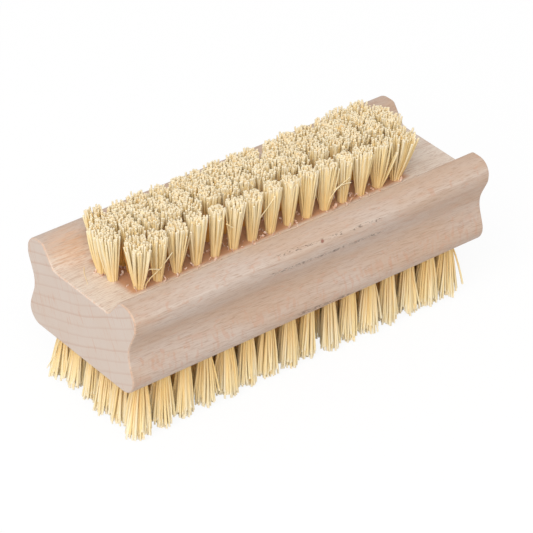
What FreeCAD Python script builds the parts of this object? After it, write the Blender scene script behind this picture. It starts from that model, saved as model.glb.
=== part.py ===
import FreeCAD, Part
import math
import os
from collections import namedtuple

# Two-sided nail brush: a beech block with finger grooves, set with plant-fibre tufts on both faces.
# Sizes are in millimetres and angles in degrees.
# X runs along the block, Y across it and Z up. The origin lies under the middle of the brush,
# on the plane of the lower tips, which is what the brush stands on.

# Block section. Widths are over both sides, at the corners that the radii round off.
block_length = 95.0
block_height = 21.1
ridge_width = 37.0
ridge_side_height = 4.8
waist_width = 31.6
base_width = 35.8
base_side_height = 4.3

# Channel along the top, between the two ridges.
channel_depth = 4.6
channel_floor_width = 18.8
channel_mouth_width = 26.0

# Rounded corners of the section, and the sanded edge of the two end faces.
base_edge_radius = 3.5
base_side_radius = 4.0
waist_radius = 6.5
ridge_side_radius = 4.0
ridge_outer_radius = 3.4
ridge_inner_radius = 1.2
channel_corner_radius = 1.5
end_edge_radius = 0.4

# Drilled holes, finer in the channel. The web is the wood left between holes that face each other.
top_hole_diameter = 2.1
bottom_hole_diameter = 2.7
drill_point_angle = 118.0
web_thickness = 3.0

# Upper tufts stand in the channel: a front row, an aisle, then closer rows up to the back wall.
# The field starts nearer to one end, and its front and back rows are half a pitch short at both ends.
top_close_rows = 3
top_pitch = 4.9
top_row_pitch = 3.5
top_aisle = 5.4
top_near_margin = 8.1
top_far_margin = 13.2
top_back_margin = 2.7
top_bristle_length = 11.2
top_tip_gap = 0.5

# Lower tufts stand on the flat underside, in straight rows across and along.
bottom_rows = 6
bottom_pitch = 5.55
bottom_end_margin = 5.5
bottom_side_margin = 1.9
bottom_bristle_length = 14.0
bottom_tip_gap = 1.5

# Tips lean outwards where a tuft has no neighbour to stand against.
top_end_splay = 0.8
top_side_splay = 0.2
bottom_end_splay = 0.8
bottom_side_splay = 0.4
end_splay_power = 7
side_splay_power = 3

# Flat wire anchors. Each holds a tuft by its fold and bites into the wood beside the hole.
anchor_thickness = 0.4
anchor_height = 1.6
anchor_bite = 0.4
anchor_angle = 45.0
fold_thickness = 0.9

# Clearances between pieces, and how far a cutting tool starts outside the wood.
tuft_clearance = 0.05
anchor_clearance = 0.03
tool_overrun = 1.0

# Levels and sizes that follow from those above.
underside_level = bottom_bristle_length
floor_level = underside_level + block_height - channel_depth

# One bristled face: which way its tufts point, the level of its hole mouths, its rows and their sizes.
Face = namedtuple(
    "Face", "name facing mouth_level rows hole_diameter bristle_length tip_gap end_splay side_splay"
)
UP = 1
DOWN = -1


def rounded_outline(corners):
    """Closed wire in the YZ plane through (y, z, radius) corners, each rounded by its own radius."""
    count = len(corners)
    points = [FreeCAD.Vector(0, y, z) for y, z, _ in corners]
    tangents = []
    for index, (_, _, radius) in enumerate(corners):
        inward = points[index - 1] - points[index]
        outward = points[(index + 1) % count] - points[index]
        tangents.append(radius / math.tan(inward.getAngle(outward) / 2))

    def share_of_edge(index):
        """Share of the wanted roundings that the edge leaving a corner has room for."""
        after = (index + 1) % count
        return (points[after] - points[index]).Length / (tangents[index] + tangents[after])

    starts, middles, ends = [], [], []
    for index, (_, _, radius) in enumerate(corners):
        share = min(1.0, share_of_edge(index - 1), share_of_edge(index))
        inward = (points[index - 1] - points[index]).normalize()
        outward = (points[(index + 1) % count] - points[index]).normalize()
        bisector = (inward + outward).normalize()
        to_centre = radius * share / math.sin(inward.getAngle(outward) / 2)
        starts.append(points[index] + inward * tangents[index] * share)
        middles.append(points[index] + bisector * (to_centre - radius * share))
        ends.append(points[index] + outward * tangents[index] * share)

    edges = []
    for index in range(count):
        edges.append(Part.Arc(starts[index], middles[index], ends[index]).toShape())
        next_start = starts[(index + 1) % count]
        if (next_start - ends[index]).Length > Part.Precision.confusion():
            edges.append(Part.LineSegment(ends[index], next_start).toShape())
    return Part.Wire(edges)


def block_blank():
    """The grooved block before drilling: its section drawn along X, with sanded end edges."""
    top = underside_level + block_height
    base_corner = underside_level + base_side_height
    ridge_corner = top - ridge_side_height
    half_section = [
        (base_width / 2, underside_level, base_edge_radius),
        (base_width / 2, base_corner, base_side_radius),
        (waist_width / 2, (base_corner + ridge_corner) / 2, waist_radius),
        (ridge_width / 2, ridge_corner, ridge_side_radius),
        (ridge_width / 2, top, ridge_outer_radius),
        (channel_mouth_width / 2, top, ridge_inner_radius),
        (channel_floor_width / 2, floor_level, channel_corner_radius),
    ]
    mirrored = [(-y, z, radius) for y, z, radius in reversed(half_section)]
    outline = rounded_outline(half_section + mirrored)
    outline.translate(FreeCAD.Vector(-block_length / 2, 0, 0))
    blank = Part.Face(outline).extrude(FreeCAD.Vector(block_length, 0, 0))
    end_edges = [edge for edge in blank.Edges if edge.BoundBox.XLength < end_edge_radius]
    return blank.makeFillet(end_edge_radius, end_edges)


def spaced(count, pitch):
    """Positions of count things, a pitch apart, centred on zero."""
    return [(index - (count - 1) / 2) * pitch for index in range(count)]


def tufts_between(margins, pitch):
    """How many tufts, a pitch apart, fit between the margins at the block's ends."""
    return 1 + int((block_length - margins) / pitch)


def top_field():
    """Rows of the upper tufts, from the front, each a list of (x, y) hole centres."""
    first = top_near_margin - block_length / 2
    count = tufts_between(top_near_margin + top_far_margin, top_pitch)
    inner = [first + index * top_pitch for index in range(count)]
    outer = [x + top_pitch / 2 for x in inner[:-1]]
    back = channel_floor_width / 2 - top_back_margin
    close = [back - index * top_row_pitch for index in reversed(range(top_close_rows))]
    levels = [close[0] - top_aisle] + close
    along = [outer] + [inner] * (top_close_rows - 1) + [outer]
    return [[(x, y) for x in row] for y, row in zip(levels, along)]


def bottom_field():
    """Rows of the lower tufts, from the front, each a list of (x, y) hole centres."""
    flat_width = base_width - 2 * base_edge_radius
    row_pitch = (flat_width - 2 * bottom_side_margin) / (bottom_rows - 1)
    count = tufts_between(2 * bottom_end_margin, bottom_pitch)
    return [[(x, y) for x in spaced(count, bottom_pitch)] for y in spaced(bottom_rows, row_pitch)]


def tip_reach(face):
    """Reach of a tip along and across its row that leaves the gap to the next tips."""
    along = min(b[0] - a[0] for row in face.rows for a, b in zip(row, row[1:]))
    across = min(b[0][1] - a[0][1] for a, b in zip(face.rows, face.rows[1:]))
    return (along - face.tip_gap) / 2, (min(along, across) - face.tip_gap) / 2


def point_depth(face):
    """Depth of the cone that the drill's point leaves at the foot of a hole."""
    return face.hole_diameter / 2 / math.tan(math.radians(drill_point_angle / 2))


def bore_depth(face):
    """Depth of a hole's straight bore, which leaves the web to the hole on the other face."""
    return (block_height - channel_depth - web_thickness) / 2 - point_depth(face)


def along_hole(face, x, y, shape):
    """Place a shape that was made with its mouth at zero and +Z out of the hole."""
    placed = shape.copy()
    if face.facing == DOWN:
        placed.rotate(FreeCAD.Vector(), FreeCAD.Vector(1, 0, 0), 180)
    placed.translate(FreeCAD.Vector(x, y, face.mouth_level))
    return placed


def anchor_bar(face, clearance):
    """Flat bar across the hole at the anchor's seat, larger all round by the clearance."""
    length = face.hole_diameter + 2 * anchor_bite + 2 * clearance
    thickness = anchor_thickness + 2 * clearance
    height = anchor_height + 2 * clearance
    foot = fold_thickness - bore_depth(face) - clearance
    bar = Part.makeBox(length, thickness, height, FreeCAD.Vector(-length / 2, -thickness / 2, foot))
    bar.rotate(FreeCAD.Vector(), FreeCAD.Vector(0, 0, 1), anchor_angle)
    return bar


def hole_tool(face):
    """What one drilled hole takes out of the wood: bore, drill point and the anchor's bite."""
    radius = face.hole_diameter / 2
    depth = bore_depth(face)
    bore = Part.makeCylinder(radius, depth + tool_overrun, FreeCAD.Vector(0, 0, -depth))
    tip = FreeCAD.Vector(0, 0, -depth - point_depth(face))
    point = Part.makeCone(0, radius, point_depth(face), tip)
    return bore.fuse([point, anchor_bar(face, anchor_clearance)]).removeSplitter()


def ring(along, across, x, y, z):
    """Level oval wire about a point, with its longer reach along X."""
    return Part.Wire(Part.Ellipse(FreeCAD.Vector(x, y, z), along, across).toShape())


def tuft(face, lean_x, lean_y):
    """One tuft with its mouth at zero: folded foot in the drill point, stem, and spreading head."""
    radius = face.hole_diameter / 2 - tuft_clearance
    stem_foot = tuft_clearance - bore_depth(face)
    fold_foot = stem_foot - point_depth(face) / 2
    rings = [
        ring(radius / 2, radius / 2, 0, 0, fold_foot),
        ring(radius, radius, 0, 0, stem_foot),
        ring(radius, radius, 0, 0, 0),
        ring(*tip_reach(face), lean_x, lean_y, face.bristle_length),
    ]
    return Part.makeLoft(rings, True, True).cut(anchor_bar(face, anchor_clearance))


def splay(position, others, most, power):
    """Outward lean of a tip: none in the middle of the field, and the most at its edge."""
    middle = (min(others) + max(others)) / 2
    share = (position - middle) / (max(others) - middle)
    return math.copysign(most * abs(share) ** power, share)


def row_of_tufts(face, row):
    """The tufts of one row, in step with its holes."""
    along = [x for centres in face.rows for x, _ in centres]
    across = [y for centres in face.rows for _, y in centres]
    tufts = []
    for x, y in row:
        lean_x = splay(x, along, face.end_splay, end_splay_power)
        lean_y = splay(y, across, face.side_splay, side_splay_power)
        tufts.append(along_hole(face, x, y, tuft(face, lean_x, lean_y * face.facing)))
    return tufts


def export(name, solids):
    """Write one node, a solid or a group of separate solids."""
    Part.makeCompound(solids).exportStep(os.path.join("parts", name + ".step"))


def main():
    """Build the block, then every row of tufts and anchors on both of its faces."""
    os.makedirs("parts", exist_ok=True)
    top = Face(
        "top", UP, floor_level, top_field(), top_hole_diameter,
        top_bristle_length, top_tip_gap, top_end_splay, top_side_splay,
    )
    bottom = Face(
        "bottom", DOWN, underside_level, bottom_field(), bottom_hole_diameter,
        bottom_bristle_length, bottom_tip_gap, bottom_end_splay, bottom_side_splay,
    )

    holes = []
    for face in (top, bottom):
        drill = hole_tool(face)
        anchor = anchor_bar(face, 0)
        for number, row in enumerate(face.rows, start=1):
            holes += [along_hole(face, x, y, drill) for x, y in row]
            tufts = row_of_tufts(face, row)
            half = len(row) // 2
            export(f"{face.name}_tufts_row_{number}_left", tufts[:half])
            export(f"{face.name}_tufts_row_{number}_right", tufts[half:])
            export(f"{face.name}_anchors_row_{number}", [along_hole(face, x, y, anchor) for x, y in row])
    export("beech_block", [block_blank().cut(Part.makeCompound(holes))])


main()
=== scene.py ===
"""Looks of a two-sided nail brush: a raw beech block with plant-fibre tufts on both of its faces."""
import logging
import math
from collections.abc import Sequence
from dataclasses import asdict, dataclass
from enum import Enum
from typing import Any

import bpy
from mathutils import Matrix, Vector


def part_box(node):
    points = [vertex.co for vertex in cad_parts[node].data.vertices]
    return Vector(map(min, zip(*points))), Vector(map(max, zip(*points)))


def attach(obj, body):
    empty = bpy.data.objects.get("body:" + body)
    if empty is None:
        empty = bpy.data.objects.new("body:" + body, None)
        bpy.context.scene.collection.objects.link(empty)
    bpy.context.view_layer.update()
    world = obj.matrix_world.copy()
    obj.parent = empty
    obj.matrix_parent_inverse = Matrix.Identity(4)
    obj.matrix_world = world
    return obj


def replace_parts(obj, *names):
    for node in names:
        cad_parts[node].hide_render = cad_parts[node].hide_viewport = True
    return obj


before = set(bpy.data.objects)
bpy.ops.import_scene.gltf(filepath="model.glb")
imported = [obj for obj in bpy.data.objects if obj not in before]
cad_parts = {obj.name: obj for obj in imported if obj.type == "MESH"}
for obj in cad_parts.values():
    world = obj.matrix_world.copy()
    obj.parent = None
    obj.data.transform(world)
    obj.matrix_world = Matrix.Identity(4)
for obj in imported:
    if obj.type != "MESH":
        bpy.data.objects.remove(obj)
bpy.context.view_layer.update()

LOG = logging.getLogger("nail_brush")
MM = 0.001
BODY = "root"
GOLDEN_ANGLE = math.pi * (3.0 - math.sqrt(5.0))
FIBRE_SIDES = 5
TUFT_ATTRIBUTES = {"lean": "FLOAT_VECTOR", "width": "FLOAT", "shade": "FLOAT"}

Rgb = tuple[int, int, int]
Pair = tuple[float, float]
Point = tuple[float, float, float]


class Face(Enum):
    """The two bristled faces of the block, each with the way that its tufts point along Z."""

    TOP = 1
    BOTTOM = -1


class Slot(Enum):
    """Material slots of the record."""

    BEECH = "beech"
    BRISTLE = "bristle"


def colour(rgb: Rgb) -> tuple[float, float, float, float]:
    """Linear colour with full alpha.

    Args:
        rgb: Red, green and blue as seen on a screen, each from 0 to 255.

    Returns:
        The colour as a socket takes it.
    """
    shares = [value / 255 for value in rgb]
    linear = [s / 12.92 if s <= 0.04045 else ((s + 0.055) / 1.055) ** 2.4 for s in shares]
    return (*linear, 1.0)


class Graph:
    """A node tree under construction, with short forms of the nodes that are used most."""

    def __init__(self, tree: bpy.types.NodeTree) -> None:
        """Take over an empty tree."""
        self.tree = tree

    def add(self, kind: str, inputs: dict | None = None, **settings: Any) -> bpy.types.Node:
        """Add a node.

        Args:
            kind: Blender's name of the node's type.
            inputs: Sockets or plain values by the input's name or number.
            settings: Values of the node's own properties.

        Returns:
            The new node.
        """
        node = self.tree.nodes.new(kind)
        for name, value in settings.items():
            setattr(node, name, value)
        for key, value in (inputs or {}).items():
            self.feed(node.inputs[key], value)
        return node

    def feed(self, socket: bpy.types.NodeSocket, value: Any) -> None:
        """Link a socket to an input, or set the input to a plain value.

        Args:
            socket: The input.
            value: An output socket or a value.
        """
        if isinstance(value, bpy.types.NodeSocket):
            self.tree.links.new(value, socket)
        else:
            socket.default_value = value

    def math(self, operation: str, *values: Any) -> bpy.types.NodeSocket:
        """Result of a Math node.

        Args:
            operation: The node's operation.
            values: Its inputs in order.

        Returns:
            The output socket.
        """
        return self.add("ShaderNodeMath", dict(enumerate(values)), operation=operation).outputs[0]

    def vector(self, operation: str, *values: Any) -> bpy.types.NodeSocket:
        """Result of a Vector Math node.

        Args:
            operation: The node's operation.
            values: Its inputs in order.

        Returns:
            The vector output, or the number of a distance.
        """
        node = self.add("ShaderNodeVectorMath", dict(enumerate(values)), operation=operation)
        return node.outputs["Value" if operation == "DISTANCE" else "Vector"]

    def scaled(self, vector: Any, by: Any) -> bpy.types.NodeSocket:
        """A vector times a number."""
        node = self.add("ShaderNodeVectorMath", {0: vector, "Scale": by}, operation="SCALE")
        return node.outputs["Vector"]

    def total(self, *vectors: Any) -> bpy.types.NodeSocket:
        """Sum of several vectors."""
        result = vectors[0]
        for vector in vectors[1:]:
            result = self.vector("ADD", result, vector)
        return result

    def product(self, *values: Any) -> bpy.types.NodeSocket:
        """Product of several numbers."""
        result = values[0]
        for value in values[1:]:
            result = self.math("MULTIPLY", result, value)
        return result

    def combined(self, x: Any = 0.0, y: Any = 0.0, z: Any = 0.0) -> bpy.types.NodeSocket:
        """A vector from its three parts."""
        return self.add("ShaderNodeCombineXYZ", {0: x, 1: y, 2: z}).outputs[0]

    def parts(self, vector: Any) -> tuple[bpy.types.NodeSocket, ...]:
        """The three parts of a vector."""
        return tuple(self.add("ShaderNodeSeparateXYZ", {0: vector}).outputs)

    def ramp(self, value: Any, start: Any, end: Any, low: Any = 0.0, high: Any = 1.0) -> bpy.types.NodeSocket:
        """Smooth step between two levels.

        Args:
            value: What is measured.
            start: Value at which the step begins.
            end: Value at which the step ends.
            low: Result before the step.
            high: Result after the step.

        Returns:
            The output socket.
        """
        inputs = {0: value, 1: start, 2: end, 3: low, 4: high}
        return self.add("ShaderNodeMapRange", inputs, interpolation_type="SMOOTHSTEP").outputs[0]

    def span(self, value: Any, start: float, end: float, blur: float) -> bpy.types.NodeSocket:
        """One between two levels, and softly down to zero at both of them.

        Args:
            value: What is measured.
            start: Level below which the result is zero.
            end: Level above which the result is zero.
            blur: Width of the soft step inside each level.

        Returns:
            The output socket.
        """
        rise = self.ramp(value, start, start + blur)
        return self.product(rise, self.ramp(value, end - blur, end, 1.0, 0.0))

    def noise(
        self, vector: Any, cell: Any = None, detail: Any = 2.0, roughness: Any = 0.5
    ) -> bpy.types.NodeSocket:
        """Noise whose grains are about one cell across, or one unit of the vector where no cell is given."""
        if cell is not None:
            vector = self.vector("DIVIDE", vector, cell)
        inputs = {"Vector": vector, "Scale": 1.0, "Detail": detail, "Roughness": roughness}
        return self.add("ShaderNodeTexNoise", inputs).outputs[0]

    def tint(self, base: Any, *layers: tuple[Any, Rgb]) -> bpy.types.NodeSocket:
        """A colour with others laid over it.

        Args:
            base: The lowest colour.
            layers: How much of each further colour shows, and that colour, from the lowest to the uppermost.

        Returns:
            The colour socket.
        """
        for factor, rgb in layers:
            inputs = {0: factor, 6: base, 7: colour(rgb)}
            base = self.add("ShaderNodeMix", inputs, data_type="RGBA").outputs[2]
        return base

    def bump(self, height: Any, strength: float, depth: float) -> bpy.types.NodeSocket:
        """Normal of a fine relief, whose depth is in millimetres."""
        inputs = {"Strength": strength, "Distance": depth * MM, "Height": height}
        return self.add("ShaderNodeBump", inputs).outputs[0]

    def group(self, tree: bpy.types.NodeTree, **inputs: Any) -> bpy.types.Node:
        """Place a shader node group.

        Args:
            tree: The group.
            inputs: Values of its inputs, by their names in lower case with underscores.

        Returns:
            The group node.
        """
        node = self.add("ShaderNodeGroup", node_tree=tree)
        for name, value in inputs.items():
            self.feed(node.inputs[name.replace("_", " ").title()], value)
        return node

    def draw(self, kind: type, low: Any, high: Any, seed: Any, ident: Any = None) -> bpy.types.NodeSocket:
        """Random value of a Geometry Nodes tree.

        Args:
            kind: float, or Vector for three numbers.
            low: Lowest value.
            high: Highest value.
            seed: Seed of this draw.
            ident: Elements with the same ident share a value; by default each has its own.

        Returns:
            The output socket.
        """
        first, output, data_type = (0, 0, "FLOAT_VECTOR") if kind is Vector else (2, 1, "FLOAT")
        inputs = {first: low, first + 1: high, "Seed": seed}
        if ident is not None:
            inputs["ID"] = ident
        return self.add("FunctionNodeRandomValue", inputs, data_type=data_type).outputs[output]


@dataclass(frozen=True)
class Grains:
    """A pattern of noise, which shows where the noise passes a level.

    The cell is the size of a grain in millimetres. The softness is half of the width of a grain's soft edge,
    in the noise's levels.
    """

    cell: Point
    level: float
    softness: float
    detail: float = 2.0
    roughness: float = 0.5


class Effects:
    """Shader node groups that more than one finish uses, each built once.

    The wander cell is the size of a bend in the rings, in millimetres. The rise and the fall of a late line
    are shares of a year.
    """

    wander_cell: Point = (70.0, 14.0, 9.0)
    line_rise: float = 0.25
    line_fall: float = 0.015

    def __init__(self) -> None:
        """Build the groups."""
        self.wood_axes = self._wood_axes()
        self.grains = self._grains()
        self.rings = self._rings()

    @staticmethod
    def _group(name: str, inputs: dict[str, str], outputs: dict[str, str]) -> tuple[Graph, Any, Any]:
        """Start a shader node group.

        Args:
            name: Name of the group.
            inputs: Kind of each input by its name.
            outputs: Kind of each output by its name.

        Returns:
            The graph, its input node and its output node.
        """
        tree = bpy.data.node_groups.new(name, "ShaderNodeTree")
        for direction, sockets in (("INPUT", inputs), ("OUTPUT", outputs)):
            for socket, kind in sockets.items():
                tree.interface.new_socket(socket, in_out=direction, socket_type="NodeSocket" + kind)
        graph = Graph(tree)
        return graph, graph.add("NodeGroupInput"), graph.add("NodeGroupOutput")

    def mask(self, graph: Graph, vector: Any, grains: Grains) -> bpy.types.NodeSocket:
        """Place the group of grains in a material.

        Args:
            graph: The material's graph.
            vector: Place on the surface.
            grains: The pattern.

        Returns:
            The pattern's mask.
        """
        return graph.group(self.grains, vector=vector, **asdict(grains)).outputs["Mask"]

    def _wood_axes(self) -> bpy.types.NodeTree:
        """Place in the wood in millimetres: along the grain, round the pith and out from the pith."""
        graph, entry, leave = self._group(
            "wood_axes", {"Pith": "Vector", "Tilt": "Float"}, {"Axes": "Vector", "Place": "Vector"}
        )
        place = graph.scaled(graph.add("ShaderNodeTexCoord").outputs["Object"], 1 / MM)
        inputs = {"Vector": place, "Angle": entry.outputs["Tilt"]}
        turned = graph.add("ShaderNodeVectorRotate", inputs, rotation_type="Y_AXIS").outputs[0]
        x, y, z = graph.parts(graph.vector("SUBTRACT", turned, entry.outputs["Pith"]))
        radius = graph.math("SQRT", graph.math("ADD", graph.product(y, y), graph.product(z, z)))
        depth = graph.math("ABSOLUTE", graph.parts(entry.outputs["Pith"])[2])
        around = graph.product(graph.math("ARCTAN2", y, graph.product(z, -1.0)), depth)
        graph.feed(leave.inputs["Axes"], graph.combined(x, around, radius))
        graph.feed(leave.inputs["Place"], place)
        return graph.tree

    def _grains(self) -> bpy.types.NodeTree:
        """Mask of a pattern of grains, each about as large as the cell."""
        names = ("Level", "Softness", "Detail", "Roughness")
        inputs = {"Vector": "Vector", "Cell": "Vector", **dict.fromkeys(names, "Float")}
        graph, entry, leave = self._group("grains", inputs, {"Mask": "Float"})
        vector, cell, level, softness, detail, roughness = (entry.outputs[name] for name in inputs)
        height = graph.noise(vector, cell, detail, roughness)
        start, end = graph.math("SUBTRACT", level, softness), graph.math("ADD", level, softness)
        graph.feed(leave.inputs["Mask"], graph.ramp(height, start, end))
        return graph.tree

    def _rings(self) -> bpy.types.NodeTree:
        """Yearly rings: a thin late line at the end of each year, and a number for the year."""
        inputs = {"Axes": "Vector", "Spacing": "Float", "Line": "Float", "Wander": "Float"}
        graph, entry, leave = self._group("rings", inputs, {"Line": "Float", "Year": "Float"})
        axes = entry.outputs["Axes"]
        slow = graph.noise(axes, self.wander_cell, detail=3.0)
        wander = graph.product(graph.math("SUBTRACT", slow, 0.5), entry.outputs["Wander"])
        radius = graph.math("ADD", graph.parts(axes)[2], wander)
        years = graph.math("DIVIDE", radius, entry.outputs["Spacing"])
        share = graph.math("FRACT", years)
        edge = graph.math("SUBTRACT", 1.0, entry.outputs["Line"])
        rise = graph.ramp(share, graph.math("SUBTRACT", edge, self.line_rise), edge)
        fall = graph.ramp(share, 1.0 - self.line_fall, 1.0, 1.0, 0.0)
        inputs = {"W": graph.math("FLOOR", years)}
        year = graph.add("ShaderNodeTexWhiteNoise", inputs, noise_dimensions="1D")
        graph.feed(leave.inputs["Line"], graph.product(rise, fall))
        graph.feed(leave.inputs["Year"], year.outputs["Value"])
        return graph.tree


def new_material(name: str) -> tuple[bpy.types.Material, Graph, bpy.types.Node]:
    """Start a material with a Principled BSDF.

    Args:
        name: Name of the material.

    Returns:
        The material, its graph and its shader node.
    """
    material = bpy.data.materials.new(name)
    material.use_nodes = True
    graph = Graph(material.node_tree)
    shader = next(node for node in graph.tree.nodes if node.type == "BSDF_PRINCIPLED")
    return material, graph, shader


@dataclass(frozen=True)
class Timber:
    """How the block lay in the tree, in millimetres of the brush's frame."""

    pith: Point = (0.0, 60.0, 161.0)
    grain_slope: float = -0.05
    ring_spacing: float = 2.4
    ring_wander: float = 1.4

    def axes(self, graph: Graph, effects: Effects) -> tuple[bpy.types.NodeSocket, bpy.types.NodeSocket]:
        """Place in the wood, along its own axes and in the brush's frame.

        Args:
            graph: A material's graph.
            effects: The shared node groups.

        Returns:
            The two places in millimetres.
        """
        wood = graph.group(effects.wood_axes, pith=self.pith, tilt=math.atan(self.grain_slope))
        return wood.outputs["Axes"], wood.outputs["Place"]


@dataclass(frozen=True)
class Spot:
    """A round mark: its middle, and the radii between which it fades, in millimetres, and its cover."""

    middle: Point
    inner: float
    outer: float
    cover: float

    def mask(self, graph: Graph, place: Any) -> bpy.types.NodeSocket:
        """Mask of the mark.

        Args:
            graph: The material's graph.
            place: Place on the surface.

        Returns:
            The mask.
        """
        away = graph.vector("DISTANCE", place, self.middle)
        return graph.ramp(away, self.inner, self.outer, self.cover, 0.0)


@dataclass(frozen=True)
class FleckLine:
    """A row of dark specks along the grain, in millimetres, with the level of noise at which specks begin."""

    start: float
    end: float
    height: float
    slope: float
    width: float
    level: float


@dataclass(frozen=True)
class FleckRows:
    """Rows of dark specks on the block's front side.

    Sizes are in millimetres, and rates are grains of noise per millimetre. The core is the share of a row's
    width within which it is strongest. The softness is the width of a speck's edge in the noise's levels.
    """

    lines: tuple[FleckLine, ...] = (
        FleckLine(-14.0, 20.0, 29.7, -0.055, 0.65, 0.50),
        FleckLine(-12.5, 19.0, 33.4, -0.045, 0.45, 0.55),
        FleckLine(-6.0, 12.0, 16.4, -0.06, 0.75, 0.46),
    )
    front: Pair = (-13.0, -11.0)
    fade: float = 3.0
    core: float = 0.25
    wave: float = 0.9
    wave_rate: float = 0.35
    cluster: float = 0.5
    cluster_rate: float = 0.3
    cluster_seed: float = 3.0
    speck_rates: Pair = (1.2, 4.5)
    speck_seed: float = 7.0
    softness: float = 0.1
    cover: float = 0.7

    def mask(self, graph: Graph, x: Any, y: Any, z: Any) -> bpy.types.NodeSocket:
        """Mask of the specks.

        Args:
            graph: The material's graph.
            x: Place along the block.
            y: Place across the block.
            z: Height.

        Returns:
            The mask.
        """
        front = graph.ramp(y, *self.front, 1.0, 0.0)
        marks = 0.0
        for number, line in enumerate(self.lines):
            height = graph.math("ADD", graph.product(x, line.slope), line.height)
            wave = self._drift(graph, x, self.wave_rate, float(number), self.wave)
            off = graph.math("ADD", graph.math("SUBTRACT", z, height), wave)
            near = graph.ramp(graph.math("ABSOLUTE", off), line.width * self.core, line.width, 1.0, 0.0)
            within = graph.span(x, line.start, line.end, self.fade)
            along, across = (graph.product(*pair) for pair in zip((x, off), self.speck_rates))
            specks = graph.noise(graph.combined(along, across, self.speck_seed * number), detail=3.0)
            cluster = self._drift(graph, x, self.cluster_rate, self.cluster_seed + number, self.cluster)
            dots = graph.math("ADD", specks, cluster)
            dots = graph.ramp(dots, line.level, line.level + self.softness)
            mark = graph.product(near, within, dots, front, self.cover)
            marks = graph.math("MAXIMUM", marks, mark)
        return marks

    @staticmethod
    def _drift(graph: Graph, x: Any, rate: float, seed: float, size: float) -> bpy.types.NodeSocket:
        """A value that drifts up and down along the block.

        Args:
            graph: The material's graph.
            x: Place along the block.
            rate: How fast it drifts.
            seed: Values with different seeds drift on their own.
            size: Whole range of the value, whose middle is zero.

        Returns:
            The value.
        """
        noise = graph.noise(graph.combined(graph.product(x, rate), seed))
        return graph.product(graph.math("SUBTRACT", noise, 0.5), size)


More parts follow.
